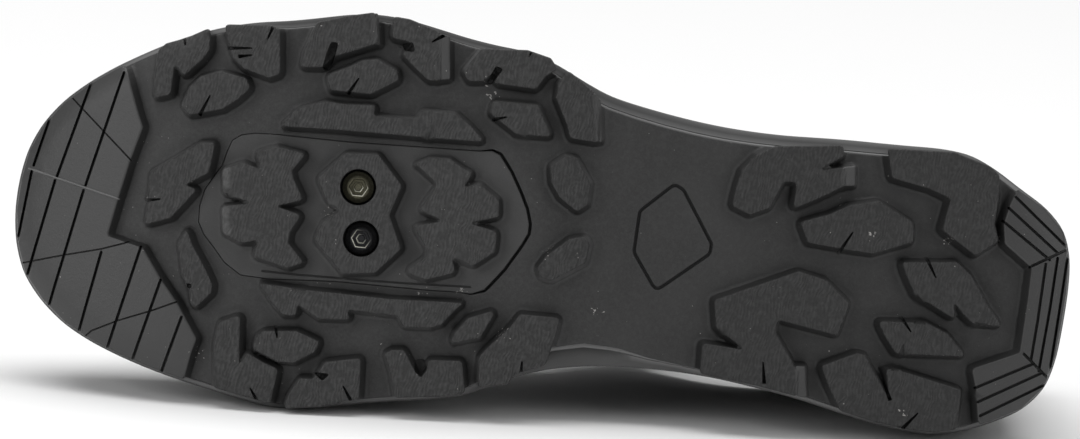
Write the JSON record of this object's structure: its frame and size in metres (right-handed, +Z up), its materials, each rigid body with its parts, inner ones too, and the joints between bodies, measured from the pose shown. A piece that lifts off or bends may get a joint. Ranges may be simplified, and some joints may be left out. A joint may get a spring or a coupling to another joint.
{
  "type": "cycling shoe",
  "caption": "Low off-road cycling shoe with a lugged sole, a covered cleat pocket and a hollow upper closed by straps, lying on its inner side.",
  "frame": {"origin": "middle of the bounding box, on the floor that the shoe lies on", "axes": "+X from the toe to the heel, -Y the way the sole faces, +Z up, towards the outer side of the foot"},
  "size_m": [0.2872, 0.1282, 0.1092],
  "materials": {
    "outsole_rubber": "matt moulded rubber with a fine wavy texture on the lugs",
    "cover_rubber": "matt moulded rubber",
    "midsole_foam": "satin moulded foam with fine ribs",
    "upper_leather": "fine-grained synthetic leather with mesh panels",
    "tongue_cloth": "padded knitted cloth",
    "insole_cloth": "brushed cloth",
    "strap_webbing": "coated strap with stitched edges",
    "screw_steel": "blackened steel"
  },
  "bodies": {
    "root": {"outsole": "outsole_rubber", "cleat_cover": "cover_rubber", "cover_screw_outer": "screw_steel", "cover_screw_inner": "screw_steel", "midsole": "midsole_foam", "insole": "insole_cloth", "upper": "upper_leather", "tongue": "tongue_cloth", "strap_lower": "strap_webbing", "strap_middle": "strap_webbing", "strap_upper": "strap_webbing"}
  },
  "joints": []
}
